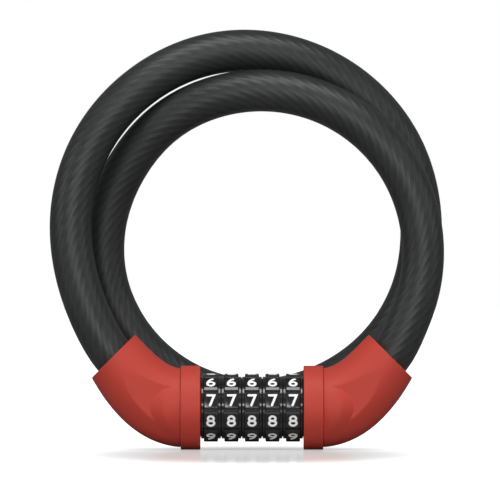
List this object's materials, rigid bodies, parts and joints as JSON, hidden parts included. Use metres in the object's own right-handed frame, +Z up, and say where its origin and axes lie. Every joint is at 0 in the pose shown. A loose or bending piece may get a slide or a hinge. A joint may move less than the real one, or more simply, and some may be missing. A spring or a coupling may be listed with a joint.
{
  "type": "cable lock",
  "caption": "Combination cable lock: number dials between two elbow housings, with a thick coated steel cable coiled above; one end pulls off when the code is set.",
  "frame": {"origin": "on the floor, under the middle of the lock body: the middle of the bottom of the box around the lock without its cable", "axes": "+X runs along the dials' axis towards the side that pulls off, +Y goes to the back, away from the readable digits of the front, +Z is up, towards the coiled cable"},
  "size_m": [0.1606, 0.0515, 0.1717],
  "materials": {
    "red_plastic": "satin red moulded plastic",
    "black_plastic": "glossy black plastic with white digits",
    "cable_coating": "charcoal soft PVC coating over twisted strands",
    "brass": "turned brass",
    "steel": "hardened steel, bright",
    "zinc": "die-cast zinc"
  },
  "bodies": {
    "lock_body": {"left_collar": "red_plastic", "left_housing_front": "red_plastic", "left_housing_back": "red_plastic", "left_core": "zinc", "left_anchor_pin": "steel", "left_ferrule": "steel", "slotted_sleeve": "steel", "click_spring": "steel", "retaining_clip": "steel", "spacer_1": "steel", "spacer_2": "steel", "spacer_3": "steel", "spacer_4": "steel", "spacer_5": "steel", "cable_sheath": "cable_coating", "cable_core": "steel"},
    "wheel_1": {"dial_1": "black_plastic", "code_ring_1": "brass"},
    "wheel_2": {"dial_2": "black_plastic", "code_ring_2": "brass"},
    "wheel_3": {"dial_3": "black_plastic", "code_ring_3": "brass"},
    "wheel_4": {"dial_4": "black_plastic", "code_ring_4": "brass"},
    "wheel_5": {"dial_5": "black_plastic", "code_ring_5": "brass"},
    "plug": {"right_collar": "red_plastic", "right_housing_front": "red_plastic", "right_housing_back": "red_plastic", "right_core": "zinc", "right_anchor_pin": "steel", "right_ferrule": "steel", "bolt_pin": "steel"}
  },
  "joints": [
    {"name": "dial_1_turn", "type": "hinge", "parent": "lock_body", "child": "wheel_1", "pos_m": [-0.01672, 0, 0.0171], "axis": [1, 0, 0], "continuous": true},
    {"name": "dial_2_turn", "type": "hinge", "parent": "lock_body", "child": "wheel_2", "pos_m": [-0.00836, 0, 0.0171], "axis": [1, 0, 0], "continuous": true},
    {"name": "dial_3_turn", "type": "hinge", "parent": "lock_body", "child": "wheel_3", "pos_m": [0, 0, 0.0171], "axis": [1, 0, 0], "continuous": true},
    {"name": "dial_4_turn", "type": "hinge", "parent": "lock_body", "child": "wheel_4", "pos_m": [0.00836, 0, 0.0171], "axis": [1, 0, 0], "continuous": true},
    {"name": "dial_5_turn", "type": "hinge", "parent": "lock_body", "child": "wheel_5", "pos_m": [0.01672, 0, 0.0171], "axis": [1, 0, 0], "continuous": true},
    {"name": "plug_pull", "type": "slide", "parent": "lock_body", "child": "plug", "axis": [1, 0, 0], "range_m": [0, 0.048], "deforming": ["cable_sheath", "cable_core"]}
  ]
}
